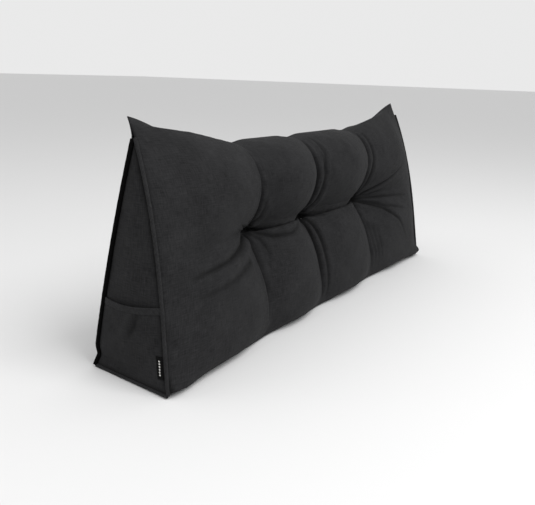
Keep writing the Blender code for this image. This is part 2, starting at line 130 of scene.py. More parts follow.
def foot_seam(s):
    x = FOOT.x * (1.0 - 2.0 * s)
    out = abs(2.0 * s - 1.0)
    y = -0.090 + (FOOT.y + 0.090) * out ** 3 + 4 * MM * near_tuft(x, 0.05)
    return Vector((x, y, 4.5 * MM + 2 * MM * out))


def base_seam(s):
    """Across the foot of the left end, from the front to the back."""
    return front_seam(0.0).lerp(back_seam(0.0), s)


# ---------------------------------------------------------------- curves and grids
def rounded_path(points, steps=24):
    """A smooth path through the points."""
    path = []
    for i in range(len(points) - 1):
        before, start = points[max(i - 1, 0)], points[i]
        end, after = points[i + 1], points[min(i + 2, len(points) - 1)]
        for k in range(steps):
            u = k / steps
            path.append(0.5 * (2 * start + (end - before) * u
                               + (2 * before - 5 * start + 4 * end - after) * u ** 2
                               + (3 * start - before - 3 * end + after) * u ** 3))
    path.append(points[-1])
    return path


def evenly(path, count):
    """count + 1 points along the path, the same distance apart."""
    lengths = [0.0]
    for a, b in zip(path, path[1:]):
        lengths.append(lengths[-1] + (b - a).length)
    places = np.linspace(0.0, lengths[-1], count + 1)
    table = np.array([list(p) for p in path])
    return [Vector([np.interp(place, lengths, table[:, axis]) for axis in range(3)])
            for place in places]


def patch(left, right, bottom, top, s, t):
    """The point of a sheet stretched between four edges."""
    across = left(t) * (1 - s) + right(t) * s
    upward = bottom(s) * (1 - t) + top(s) * t
    corners = (bottom(0) * (1 - s) + bottom(1) * s) * (1 - t) + (top(0) * (1 - s) + top(1) * s) * t
    return across + upward - corners


def add_object(name, mesh):
    piece = bpy.data.objects.new(name, mesh)
    bpy.context.scene.collection.objects.link(piece)
    return piece


def mesh_object(name, bm):
    """The piece that a bmesh describes."""
    mesh = bpy.data.meshes.new(name)
    bm.to_mesh(mesh)
    bm.free()
    return add_object(name, mesh)


def sheet_object(name, across, up, place, flat):
    """A grid of cloth: place(s, t) puts its points, flat(s, t) is where they lie in the cut."""
    bm = bmesh.new()
    bmesh.ops.create_grid(bm, x_segments=across, y_segments=up, size=0.5)
    shares = [(round(v.co.x + 0.5, 6), round(v.co.y + 0.5, 6)) for v in bm.verts]
    cut = [flat(s, t) for s, t in shares]
    uv = bm.loops.layers.uv.new("cut")
    for face in bm.faces:
        face.smooth = True
        for loop in face.loops:
            loop[uv].uv = cut[loop.vert.index]
    for vert, (s, t) in zip(bm.verts, shares):
        vert.co = place(s, t)
    return mesh_object(name, bm), shares, cut


def flat_cut(wide, high):
    """The cut of a plain rectangular piece of cloth."""
    return lambda s, t: ((s - 0.5) * wide, t * high)


def coordinates(mesh):
    """The mesh's points as a table."""
    flat = np.empty(len(mesh.vertices) * 3, np.float32)
    mesh.vertices.foreach_get("co", flat)
    return flat.reshape(-1, 3).astype(np.float64)


def set_coordinates(mesh, points):
    mesh.vertices.foreach_set("co", np.asarray(points, np.float32).ravel())
    mesh.update()


def vertex_normals(mesh):
    flat = np.empty(len(mesh.vertices) * 3, np.float32)
    mesh.vertex_normals.foreach_get("vector", flat)
    return flat.reshape(-1, 3).astype(np.float64)


def only_active(piece):
    bpy.ops.object.select_all(action="DESELECT")
    piece.select_set(True)
    bpy.context.view_layer.objects.active = piece


def apply_all(piece):
    only_active(piece)
    for modifier in list(piece.modifiers):
        bpy.ops.object.modifier_apply(modifier=modifier.name)


def subdivide(piece):
    finer = piece.modifiers.new("finer", "SUBSURF")
    finer.levels = finer.render_levels = 1
    finer.boundary_smooth = "PRESERVE_CORNERS"
    apply_all(piece)


def thicken(piece, thickness=CLOTH, offset=-1.0):
    wall = piece.modifiers.new("wall", "SOLIDIFY")
    wall.thickness = thickness
    wall.offset = offset
    apply_all(piece)


# ---------------------------------------------------------------- cloth under pressure
def inflate(sheet, cut, holds, pressure, frames):
    """Lets the filling push the sheet out between the places where it is held."""
    sheet.shape_key_add(name="sewn")
    pattern = sheet.shape_key_add(name="pattern")
    pattern.data.foreach_set("co", np.array([(u, 0.0, v) for u, v in cut], np.float32).ravel())
    group = sheet.vertex_groups.new(name="held")
    for index, hold in enumerate(holds):
        if hold > 0:
            group.add([index], hold, "REPLACE")
    cloth = sheet.modifiers.new("cloth", "CLOTH")
    settings = cloth.settings
    settings.quality = 6
    settings.mass = 0.002
    settings.air_damping = 1.0
    settings.tension_stiffness = 80
    settings.compression_stiffness = 80
    settings.shear_stiffness = 5
    settings.bending_stiffness = 0.002
    settings.vertex_group_mass = "held"
    settings.rest_shape_key = pattern
    settings.use_pressure = True
    settings.uniform_pressure_force = pressure
    settings.effector_weights.gravity = 0
    cloth.collision_settings.use_collision = False
    cloth.collision_settings.use_self_collision = False
    cloth.point_cache.frame_start = 1
    cloth.point_cache.frame_end = frames
    for number in range(1, frames + 1):
        bpy.context.scene.frame_set(number)
    depsgraph = bpy.context.evaluated_depsgraph_get()
    result = bpy.data.meshes.new_from_object(sheet.evaluated_get(depsgraph))
    sheet.modifiers.clear()
    sheet.vertex_groups.clear()
    sheet.shape_key_clear()
    sheet.data = result
    bpy.context.scene.frame_set(1)


# ---------------------------------------------------------------- the tufted front
CREASE_LOW = ((-0.093, 0.030), (-0.090, 0.074), (-0.064, 0.150), (-0.034, 0.203))
CREASE_HIGH = ((-0.030, 0.256), (-0.052, 0.296), (-0.060, 0.347), (-0.040, 0.393), (-0.004, 0.418))
ROW_SAG = 45 * MM         # how far the row bulges forward between two tufts
HUMP = 45 * MM            # how far a column bulges between two creases
FRONT_PUSH = 20.0         # the filling's pressure behind the front
FRONT_CELLS = (116, 50)   # squares of cloth across and up, while it is simulated
FINER = 4                 # how much finer it is afterwards
FREE_CLOTH = 42 * MM      # around a tuft, where the cloth folds as it likes
CREASE_HOLD = 0.12
PIT = 14 * MM             # how deep the twine draws each button in
PIT_WIDTH = 12 * MM
BULGE_FROM = 0.104        # the front may stand this far forward,
BULGE_ROOM = 13 * MM      # and less than this much more
DEEPEST = 19 * MM         # no fold or pit goes deeper than this
FOOT_ROLL = 6 * MM        # how far each lower pillow rolls out over the front edge
CORNER_ROLL = 17 * MM     # and the two lower corners

# The folds that run out from each tuft, in millimetres on the cut cloth, each with its depth
# and its half width.
FOLDS = (
    ((((0, 0), (60, -5), (185, -4)), 14.0, 8), (((0, 0), (0, 120), (0, 235)), 7.0, 6),
     (((0, 0), (0, -120), (0, -235)), 5.0, 6), (((-6, 4), (-45, 22), (-90, 36)), 4.6, 5.5),
     (((-6, -2), (-40, 7), (-75, 12)), 3.6, 5),
     (((-8, -8), (-60, -26), (-160, -42), (-285, -52)), 7.5, 9),
     (((-50, -70), (-160, -88), (-270, -96)), 4.0, 10),
     (((16, -14), (60, -34), (120, -38), (200, -20)), 5.0, 7),
     (((4, -10), (26, -36), (36, -80)), 4.0, 6), (((-2, -10), (-12, -60)), 2.6, 5),
     (((3, 8), (18, 45), (17, 110)), 4.5, 6), (((-6, 8), (-26, 40)), 2.4, 5)),
    ((((0, 0), (-60, -3), (-170, -4)), 7.0, 6), (((0, 0), (60, -5), (185, -4)), 14.0, 8),
     (((0, 0), (0, 120), (0, 245)), 7.0, 6), (((0, 0), (0, -120), (0, -245)), 6.0, 6),
     (((-6, 6), (-24, 45), (-32, 115)), 4.2, 6), (((8, 8), (24, 60), (27, 200)), 5.0, 6.5),
     (((6, -4), (40, -16), (95, -22)), 3.6, 6), (((-6, -6), (-26, -44)), 2.6, 5),
     (((6, -8), (22, -40), (26, -90), (24, -180), (18, -245)), 5.4, 6),
     (((-8, 0), (-60, -10)), 2.6, 5), (((20, 140), (38, 190), (34, 255)), 3.4, 6)),
    ((((0, 0), (-60, -3), (-170, -4)), 10.0, 7), (((0, 0), (0, 120), (0, 245)), 8.0, 6),
     (((0, 0), (0, -120), (0, -235)), 4.0, 6), (((6, 8), (22, 50), (26, 150), (20, 240)), 5.0, 6),
     (((4, 2), (120, 50), (205, 88)), 5.4, 7), (((4, 0), (115, 12)), 3.4, 6),
     (((4, -2), (120, -16), (245, -32)), 5.0, 7), (((4, -4), (105, -50), (220, -78)), 4.6, 7),
     (((4, -6), (90, -55), (155, -105), (215, -185)), 5.6, 7), (((-6, -8), (-10, -55)), 2.6, 5),
     (((14, -80), (17, -225)), 1.8, 4.5), (((29, -95), (32, -235)), 1.6, 4.5),
     (((44, -105), (48, -225)), 1.4, 4.5), (((-16, -90), (-14, -230)), 1.4, 4.5)),
)


def tuft_share(tuft):
    """How far across the front a tuft is."""
    return 0.5 + tuft.x / (2.0 * -EAR.x)


def crease(seat, count, below):
    """One column of the front, through its tuft, from the foot seam to the top seam."""
    share = tuft_share(seat)
    foot, top = foot_seam(share), top_seam(share)
    foot.x = top.x = seat.x
    low = [foot] + [Vector((seat.x, y, z)) for y, z in CREASE_LOW] + [seat]
    high = [seat] + [Vector((seat.x, y, z)) for y, z in CREASE_HIGH] + [top]
    return evenly(rounded_path(low), below) + evenly(rounded_path(high), count - below)[1:]


def front_cut(s, t):
    """The front as cut: wider at the middle than along its seams, for the pillows' fullness."""
    fullness = (4.0 * t * (1.0 - t)) ** (0.28 if t < 0.5 else 0.5)
    width = PATTERN_SEAM + (PATTERN_WIDTH - PATTERN_SEAM) * fullness
    return (s - 0.5) * width, t * PATTERN_HEIGHT


def make_front():
    """The tufted front: sewn to its seams and tufts, then pushed out by the filling."""
    across, up = FRONT_CELLS
    cell = PATTERN_WIDTH / across
    row = round(PATTERN_TUFT * up)
    stops = [0] + [round(tuft_share(tuft) * across) for tuft in TUFTS] + [across]
    columns = [[front_seam(j / up) for j in range(up + 1)]]
    columns += [crease(seat, up, row) for seat in SEATS]
    columns.append([mirrored(point) for point in columns[0]])
    out = Vector((0.0, -0.97, 0.243))

    def place(s, t):
        i, j = round(s * across), round(t * up)
        if j == 0:
            return foot_seam(s)
        if j == up:
            return top_seam(s)
        column = sum(i >= stop for stop in stops[1:-1])
        part = (i - stops[column]) / (stops[column + 1] - stops[column])
        hump = math.sin(math.pi * part)
        point = columns[column][j].lerp(columns[column + 1][j], part)
        if j == row and stops[1] <= i <= stops[3]:
            return point + Vector((0.0, -ROW_SAG * hump ** 0.7, -4 * MM * hump))
        return point + out * HUMP * hump * math.sin(math.pi * t) ** 0.4

    sheet, shares, cut = sheet_object("cover_front", across, up, place, front_cut)
    free = FREE_CLOTH / cell
    holds = []
    for s, t in shares:
        i, j = round(s * across), round(t * up)
        to_column = min(abs(i - stop) for stop in stops[1:-1])
        to_row = abs(j - row)
        if i in (0, across) or j in (0, up) or (to_column <= 1 and to_row <= 1):
            holds.append(1.0)
        elif to_column == 0 and to_row > free:
            holds.append(CREASE_HOLD)
        elif to_row == 0 and stops[1] < i < stops[3] and to_column > free:
            holds.append(CREASE_HOLD)
        else:
            holds.append(0.0)
    inflate(sheet, cut, holds, FRONT_PUSH, 45)
    return finer_sheet(sheet, shares, across, up, front_cut)


def finer_sheet(coarse, shares, across, up, flat):
    """The same sheet on a finer grid, each way doubled twice."""
    grid = np.zeros((up + 1, across + 1, 3))
    for point, (s, t) in zip(coordinates(coarse.data), shares):
        grid[round(t * up), round(s * across)] = point
    for _ in range(4):
        middle = (grid[:-1] + grid[1:]) / 2
        middle[1:-1] = (9 * (grid[1:-2] + grid[2:-1]) - grid[:-3] - grid[3:]) / 16
        finer = np.empty((2 * len(grid) - 1,) + grid.shape[1:])
        finer[::2], finer[1::2] = grid, middle
        grid = finer.swapaxes(0, 1)
    name = coarse.name
    bpy.data.objects.remove(coarse)
    return sheet_object(name, across * FINER, up * FINER,
                        lambda s, t: grid[round(t * up * FINER), round(s * across * FINER)], flat)[0]


def cut_places(mesh):
    """Each vertex's place in the flat cut."""
    places = np.zeros((len(mesh.vertices), 2))
    uv = mesh.uv_layers["cut"].data
    for loop in mesh.loops:
        places[loop.vertex_index] = uv[loop.index].uv
    return places


def beside_line(places, line):
    """For each place, how far it is from a line of points, on which side, and how far along."""
    best = np.full(len(places), 1e9)
    side, share = np.zeros(len(places)), np.zeros(len(places))
    lengths = [math.dist(a, b) for a, b in zip(line, line[1:])]
    run, whole = 0.0, sum(lengths)
    for a, b, length in zip(line, line[1:], lengths):
        ahead = (np.array(b) - np.array(a)) / length
        away = places - np.array(a)
        along = np.clip(away @ ahead, 0.0, length)
        rest = away - along[:, None] * ahead
        distance = np.hypot(rest[:, 0], rest[:, 1])
        nearer = distance < best
        best[nearer] = distance[nearer]
        side[nearer] = np.sign(ahead[0] * rest[:, 1] - ahead[1] * rest[:, 0])[nearer]
        share[nearer] = ((run + along) / whole)[nearer]
        run += length
    return best * side, share, whole


def soft_noise(places, size, seed):
    """Smooth uneven heights from about -1 to 1, of one size, over the cut cloth."""
    return np.array([noise.noise((u / size, v / size, seed)) for u, v in places])


def fold_front(sheet):
    """Draws each tuft in, works the folds around it into the cloth, and paints shade into the folds, the
    pits and along the seams.
    """
    mesh = sheet.data
    places = cut_places(mesh)
    row = PATTERN_TUFT * PATTERN_HEIGHT
    deep, shade = np.zeros(len(places)), np.zeros(len(places))
    for tuft, folds in zip(TUFTS, FOLDS):
        seat = np.array([(tuft_share(tuft) - 0.5) * PATTERN_WIDTH, row])
        for line, depth, width in folds:
            mapped = [tuple(seat + np.array(point) * MM) for point in line]
            aside, share, length = beside_line(places, mapped)
            wide = width * MM * (0.95 - 0.45 * share)
            valley = np.exp(-(np.abs(aside) / wide) ** 1.4)
            lips = np.exp(-((np.abs(aside) - 2.6 * wide) / (1.4 * wide)) ** 2)
            rise = np.clip(share * length / (12 * MM), 0.0, 1.0)
            fade = rise * (1.0 - share) ** 0.6
            deep += depth * MM * fade * (valley - 0.4 * lips)
            # Painted shade along each fold, darkest at its middle and where the fold is deep.
            dark = min(depth / 6.5, 1.0) * fade ** 0.5 * np.exp(-(aside / (1.1 * wide)) ** 2)
            shade = np.maximum(shade, dark)
        reach = np.hypot(*(places - seat).T)
        deep += PIT * np.exp(-reach / PIT_WIDTH)
        # Painted shade in each tuft's pit.
        shade = np.maximum(shade, np.exp(-(reach / (9 * MM)) ** 2))
    deep -= 1.6 * MM * soft_noise(places, 75 * MM, 3.0)
    deep -= 0.6 * MM * soft_noise(places, 24 * MM, 7.0)
    deep = np.where(deep > 0.0, DEEPEST * np.tanh(deep / DEEPEST), deep)
    heights = places[:, 1].clip(0.0, PATTERN_HEIGHT)
    edge = np.array([front_cut(1.0, height / PATTERN_HEIGHT)[0] for height in heights])
    rim = (edge - np.abs(places[:, 0])).clip(0.0)
    stops = [-1.0] + [2.0 * tuft_share(tuft) - 1.0 for tuft in TUFTS] + [1.0]
    lobe = np.sin(np.pi * np.interp(places[:, 0] / (PATTERN_WIDTH / 2), stops, range(len(stops)))) ** 2
    deep -= FOOT_ROLL * lobe * np.exp(-((places[:, 1] - 24 * MM) / (24 * MM)) ** 2)
    deep -= CORNER_ROLL * (np.exp(-((rim - 22 * MM) / (58 * MM)) ** 2)
                           * np.exp(-((places[:, 1] - 9 * MM) / (19 * MM)) ** 2))
    puckers = soft_noise(places * np.array([0.35, 1.0]), 9 * MM, 11.0)
    deep += 1.3 * MM * puckers * np.exp(-rim / (22 * MM))
    margin = np.minimum.reduce([places[:, 1], PATTERN_HEIGHT - places[:, 1], rim + 2 * MM])
    deep *= np.clip(margin / (10 * MM), 0, 1)
    points = coordinates(mesh) - vertex_normals(mesh) * deep[:, None]
    points[:, 2] = np.maximum(points[:, 2], 1.5 * MM)
    past = (-BULGE_FROM - points[:, 1]).clip(0.0)
    points[:, 1] += past - BULGE_ROOM * np.tanh(past / BULGE_ROOM)
    set_coordinates(mesh, points)
    # Painted shade along the front's seams, together with that of the folds and pits.
    paint_shade(mesh, np.maximum(shade, 0.8 * np.exp(-(rim / (4 * MM)) ** 2)))


def paint_shade(mesh, shade):
    """Stores painted shade for the cloth's colour, where it lies deep in a fold or along a seam."""
    marks = mesh.attributes.new("shade", "FLOAT", "POINT")
    marks.data.foreach_set("value", shade.astype(np.float32))


# ---------------------------------------------------------------- ends, back and base
END_WIDTH = 0.206
END_HEIGHT = 0.468
END_SWELL = 9 * MM
END_PUSH = 4.0            # the filling's pressure behind an end
BACK_SIZE = (1.205, 0.425)
BACK_LOWER_SIZE = (1.19, 0.037)
BASE_SIZE = (1.19, 0.187)
BACK_CROWN = 5 * MM       # how far the filling pushes the back out
ROLL_FROM = 0.545         # past this far along, the back rolls forward to the end seams


def end_point(s, t):
    """The left end panel: s from the front seam to the back one, t from the base to the apex."""
    point = patch(lambda u: front_seam(u * APEX_SHARE), lambda u: back_seam(u * APEX_SHARE),
                  base_seam, lambda u: APEX, s, t)
    swell = (16.0 * s * (1.0 - s) * t * (1.0 - t)) ** 0.8
    return point + Vector((-END_SWELL * swell, 0.0, 0.0))


def end_cut(s, t):
    return (s - 0.5) * (END_WIDTH * (1.0 - t) + 0.006 * t), t * END_HEIGHT


def make_end():
    """The left end, slightly swollen, with ripples along its seams and painted shade along them."""
    sheet, shares, cut = sheet_object("cover_end_left", 30, 70, end_point, end_cut)
    sheet.data.flip_normals()
    holds = [1.0 if s in (0.0, 1.0) or t in (0.0, 1.0) else 0.0 for s, t in shares]
    inflate(sheet, cut, holds, END_PUSH, 10)
    mesh = sheet.data
    places = cut_places(mesh)
    seam = np.array([min(s, 1.0 - s) * (1.0 - t) * END_WIDTH for s, t in shares])
    seam = np.minimum(seam, np.array([t * END_HEIGHT for s, t in shares]))
    ripple = soft_noise(places * np.array([0.4, 1.0]), 16 * MM, 5.0)
    deep = -1.2 * MM * soft_noise(places, 60 * MM, 2.0) + 1.3 * MM * ripple * np.exp(-seam / (18 * MM))
    deep += 1.6 * MM * fold_line(places, ((0.055, 0.335), (0.0, 0.322), (-0.045, 0.33)), 9 * MM)
    deep *= np.clip(seam / (10 * MM), 0.0, 1.0)
    set_coordinates(mesh, coordinates(mesh) - vertex_normals(mesh) * deep[:, None])
    # Painted shade along the end's seams.
    paint_shade(mesh, 0.75 * np.exp(-(seam / (6 * MM)) ** 2))
    subdivide(sheet)
    return sheet


def fold_line(places, line, width):
    """A soft valley along a line, 1 deep at its middle and fading to its ends."""
    aside, share, length = beside_line(places, line)
    return np.exp(-(aside / width) ** 2) * np.sin(np.pi * np.clip(share, 0.02, 0.98)) ** 0.6


def mirror_copy(piece, name):
    """The other hand of a piece, with its own mesh."""
    other = piece.copy()
    other.data = piece.data.copy()
    other.name = other.data.name = name
    bpy.context.scene.collection.objects.link(other)
    set_coordinates(other.data, coordinates(other.data) * np.array([-1.0, 1.0, 1.0]))
    other.data.flip_normals()
    return other


def back_plane(z):
    """The flat back of the frame, where the zip lies."""
    return UPPER_HIGH.y - BACK_SLOPE * (z - UPPER_LOW.z)


def rolled(x):
    """0 along the middle of the back, 1 at the end seams."""
    return min(1.0, max(0.0, (abs(x) - ROLL_FROM) / (abs(HEEL.x) - ROLL_FROM))) ** 2


def back_point(x, z):
    """The back at a height: flat in the middle, rolled forward to the piping at both ends."""
    share = min(max((z - HEEL.z) / (APEX.z - HEEL.z), 0.0), 1.0) * APEX_SHARE
    seam = back_seam(share)
    return Vector((x, back_plane(z) + (seam.y - back_plane(z)) * rolled(x), z))


def zip_meeting(x):
    """0 along the zip, 1 past its ends, where the two parts of the back meet."""
    return min(max((abs(x) - ZIP_HALF + 3 * MM) / (6 * MM), 0.0), 1.0)


def make_back_upper(across=180, up=60):
    """The back above the zip, flat against its board and rolled forward at the ends."""
    start = APEX_SHARE * (ZIP_MIDDLE - HEEL.z) / (APEX.z - HEEL.z)

    def left(t):
        return back_seam(start + (1.0 - start) * t)

    def bottom(s):
        x = left(0.0).x * (1.0 - 2.0 * s)
        z = UPPER_LOW.z + 0.4 * MM
        z += (left(0.0).z - z) * zip_meeting(x)
        return Vector((x, back_plane(z) + (left(0.0).y - back_plane(z)) * rolled(x), z))

    def place(s, t):
        point = patch(left, lambda u: mirrored(left(u)), bottom, top_seam, s, t)
        free = (1.0 - rolled(point.x)) * (1.0 - t ** 7)
        crown = BACK_CROWN * math.sin(math.pi * t) ** 0.5
        point.y += (back_plane(point.z) + crown - point.y) * free
        return point

    wide, high = BACK_SIZE
    sheet = sheet_object("cover_back_upper", across, up, place, flat_cut(wide, high))[0]
    sheet.data.flip_normals()
    mesh = sheet.data
    places = cut_places(mesh)
    rim = np.minimum.reduce([places[:, 1], high - places[:, 1], wide / 2 - np.abs(places[:, 0])])
    deep = -2.0 * MM * soft_noise(places, 120 * MM, 1.0) - 0.8 * MM * soft_noise(places, 40 * MM, 4.0)
    ripple = soft_noise(places * np.array([1.0, 0.3]), 14 * MM, 9.0)
    deep += 1.0 * MM * ripple * np.exp(-(high - places[:, 1]) / (25 * MM))
    deep *= np.clip(rim / (14 * MM), 0.0, 1.0)
    set_coordinates(mesh, coordinates(mesh) - vertex_normals(mesh) * deep[:, None])
    return sheet


def make_back_lower():
    """The strip of the back below the zip."""
    def place(s, t):
        x = HEEL.x * (1.0 - 2.0 * s)
        top = LOWER_HIGH.z - 0.4 * MM
        top += (ZIP_MIDDLE + 0.5 * MM - top) * zip_meeting(x)
        point = back_point(x, (LOWER_LOW.z - 1 * MM) * (1.0 - t) + top * t)
        point.y += 0.8 * MM * math.sin(math.pi * t) - 1.5 * MM * math.exp(-t / 0.12)
        return point

    sheet = sheet_object("cover_back_lower", 180, 12, place, flat_cut(*BACK_LOWER_SIZE))[0]
    sheet.data.flip_normals()
    return sheet


def make_base():
    """The flat base, its edges turned up to the seams."""
    def place(s, t):
        x = SEAM_X * (1.0 - 2.0 * s)
        front, back = foot_seam(s).y + 1 * MM, HEEL.y - 0.5 * MM
        rim = min(min(s, 1.0 - s) * BASE_SIZE[0], t * 0.19, (1.0 - t) * 0.19)
        lift = 5.5 * MM * math.exp(-(rim / (9 * MM)) ** 1.3)
        return Vector((x, front + (back - front) * t, 0.6 * MM + lift))

    sheet = sheet_object("cover_base", 150, 40, place, flat_cut(*BASE_SIZE))[0]
    sheet.data.flip_normals()
    return sheet


# ---------------------------------------------------------------- the side pocket
POCKET_HIGH = 0.345       # share of the end's height that its opening is at, by the front seam
POCKET_FALL = 0.027       # how much lower it is by the back seam
POCKET_DROOP = 0.006
POCKET_GAPE = 6 * MM
HEM_WIDTH = 13 * MM
POCKET_SIZE = (END_WIDTH * 0.95, END_HEIGHT * POCKET_HIGH)


def pocket_point(s, t, proud=0.0):
    """On the pocket: s from the front seam to the back one, t from the base to the opening."""
    high = (POCKET_HIGH - POCKET_FALL * s - POCKET_DROOP * math.sin(math.pi * s) ** 1.3) * t
    point = end_point(s, 0.004 + high)
    edge = min(1.0, min(s, 1.0 - s) / 0.10)
    gape = POCKET_GAPE * math.sin(math.pi * s) ** 1.2 * t ** 2.2
    return point + Vector((-(1.8 * MM * edge + gape + proud), 0.0, 0.0))


def make_pocket():
    """The patch pocket, with the folds that hang from its opening, and painted shade along its edges and in
    its deepest fold.
    """
    width, height = POCKET_SIZE
    sheet = sheet_object("side_pocket_cloth", 44, 36, pocket_point, flat_cut(width, height))[0]
    sheet.data.flip_normals()
    mesh = sheet.data
    places = cut_places(mesh)
    dip = fold_line(places, ((-0.034, 0.150), (-0.020, 0.122), (0.004, 0.090)), 8 * MM)
    deep = 3.4 * MM * dip
    deep -= 2.2 * MM * fold_line(places, ((-0.012, 0.148), (0.004, 0.120), (0.022, 0.096)), 9 * MM)
    deep += 1.2 * MM * fold_line(places, ((0.070, 0.120), (0.040, 0.105), (0.010, 0.100)), 8 * MM)
    deep -= 0.9 * MM * soft_noise(places, 35 * MM, 6.0)
    rim = np.minimum(width / 2 - np.abs(places[:, 0]), places[:, 1])
    deep *= np.clip(rim / (16 * MM), 0.0, 1.0)
    deep = np.minimum(deep, 1.2 * MM + (rim > 20 * MM) * 2.2 * MM)
    set_coordinates(mesh, coordinates(mesh) - vertex_normals(mesh) * deep[:, None])
    # Painted shade along the pocket's edges and in its deepest fold.
    paint_shade(mesh, np.maximum(0.75 * np.exp(-(rim / (6 * MM)) ** 2), 0.55 * dip))
    return sheet


def make_hem():
    """The opening's edge: a hem band standing just proud of the pocket, for the row of stitches along it.
    """
    def place(s, t):
        point = pocket_point(s, 1.0 - HEM_WIDTH / POCKET_SIZE[1] * (1.0 - t), 0.9 * MM)
        if t > 0.98:
            point.x += 0.6 * MM
        return point

    sheet = sheet_object("side_pocket_hem", 60, 6, place, flat_cut(POCKET_SIZE[0], HEM_WIDTH))[0]
    sheet.data.flip_normals()
    return sheet


# ---------------------------------------------------------------- stitching
STITCH_LENGTH = 3.2 * MM
STITCH_GAP = 1.3 * MM
THREAD = 0.36 * MM


def stitches(name, path, out, sides=5):
    """A line of machine stitches along a path, each one a short thread that dips at its ends."""
    total = sum((b - a).length for a, b in zip(path, path[1:]))
    step = STITCH_LENGTH + STITCH_GAP
    line = evenly(path, max(2, round(total / step)) * 4)
    bm = bmesh.new()
    for k in range(0, len(line) - 4, 4):
        start, end = line[k], line[k].lerp(line[k + 4], STITCH_LENGTH / step)
        ahead = (end - start).normalized()
        side = ahead.cross(out).normalized()
        up = side.cross(ahead)
        rings = []
        for share, rise, wide in ((0.0, -0.4, 0.5), (0.25, 0.5, 1.0), (0.75, 0.5, 1.0), (1.0, -0.4, 0.5)):
            centre_line = start.lerp(end, share) + up * rise * THREAD
            rings.append([bm.verts.new(centre_line + (side * math.cos(2 * math.pi * j / sides)
                                                      + up * math.sin(2 * math.pi * j / sides))
                                       * THREAD * wide) for j in range(sides)])
        for low, high in zip(rings, rings[1:]):
            for j in range(sides):
                bm.faces.new((low[j], low[(j + 1) % sides], high[(j + 1) % sides], high[j]))
        bm.faces.new(rings[0][::-1])
        bm.faces.new(rings[-1])
    bmesh.ops.recalc_face_normals(bm, faces=bm.faces)
    for face in bm.faces:
        face.smooth = True
    return mesh_object(name, bm)


# ---------------------------------------------------------------- the inner cushion
def make_filling(name, front, inset, thickness):
    """A closed form inside the cover: its face follows the front, its back is flat."""
    across, up = FRONT_CELLS[0] * FINER, FRONT_CELLS[1] * FINER
    mesh = front.data
    points = coordinates(mesh) - vertex_normals(mesh) * inset
    places = cut_places(mesh)
    order = np.lexsort((places[:, 0].round(5), places[:, 1].round(6)))
    grid = points[order].reshape(up + 1, across + 1, 3)
    deepest = grid[..., 1].copy()
    for _ in range(7):
        padded = np.pad(deepest, 1, mode="edge")
        deepest = np.maximum.reduce([padded[1:-1, 1:-1], padded[:-2, 1:-1], padded[2:, 1:-1],
                                     padded[1:-1, :-2], padded[1:-1, 2:]])
    grid[..., 1] = deepest
    grid = grid[::FINER, ::FINER]
    shrink = (abs(SEAM_X) - inset * 1.5) / abs(SEAM_X)
    floor_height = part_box("base_board")[1][2] + 1 * MM
    bm = bmesh.new()
    face, back = [], []
    for line in grid:
        near, far = [], []
        for x, y, z in line:
            z = min(max(z, floor_height), SEAM_MIDDLE.z - inset)
            x *= shrink
            y = min(y, back_plane(z) - thickness - 5 * MM)
            near.append(bm.verts.new((x, y, z)))
            far.append(bm.verts.new((x, back_plane(z) - thickness, z)))
        face.append(near)
        back.append(far)
    height, width = len(face), len(face[0])
    for j in range(height - 1):
        for i in range(width - 1):
            bm.faces.new((face[j][i], face[j][i + 1], face[j + 1][i + 1], face[j + 1][i]))
            bm.faces.new((back[j][i], back[j + 1][i], back[j + 1][i + 1], back[j][i + 1]))
    rim = [(j, 0) for j in range(height)] + [(height - 1, i) for i in range(1, width)]
    rim += [(j, width - 1) for j in range(height - 2, -1, -1)] + [(0, i) for i in range(width - 2, 0, -1)]
    for (j, i), (m, n) in zip(rim, rim[1:] + rim[:1]):
        bm.faces.new((face[j][i], face[m][n], back[m][n], back[j][i]))
    bmesh.ops.recalc_face_normals(bm, faces=bm.faces)
    bmesh.ops.smooth_vert(bm, verts=bm.verts, factor=0.5, use_axis_x=True, use_axis_y=True, use_axis_z=True)
    for polygon in bm.faces:
        polygon.smooth = True
    return mesh_object(name, bm)


# ---------------------------------------------------------------- hard pieces
def settle(piece):
    """Puts the piece's place, turn and size into its mesh."""
    only_active(piece)
    bpy.ops.object.transform_apply(location=True, rotation=True, scale=True)


BUTTON = 8 * MM
FRONT_TILT = math.radians(14)


def make_button(side, seat):
    """A small fabric-covered button, domed."""
    bpy.ops.object.select_all(action="DESELECT")
    bpy.ops.mesh.primitive_uv_sphere_add(segments=28, ring_count=14, radius=BUTTON, location=seat,
                                         rotation=(math.pi / 2 - FRONT_TILT, 0.0, 0.0))
    button = bpy.context.object
    button.name = "covered_button_" + side
    button.scale = (1.0, 1.0, 0.42)
    settle(button)
    bpy.ops.object.shade_smooth()
    return button


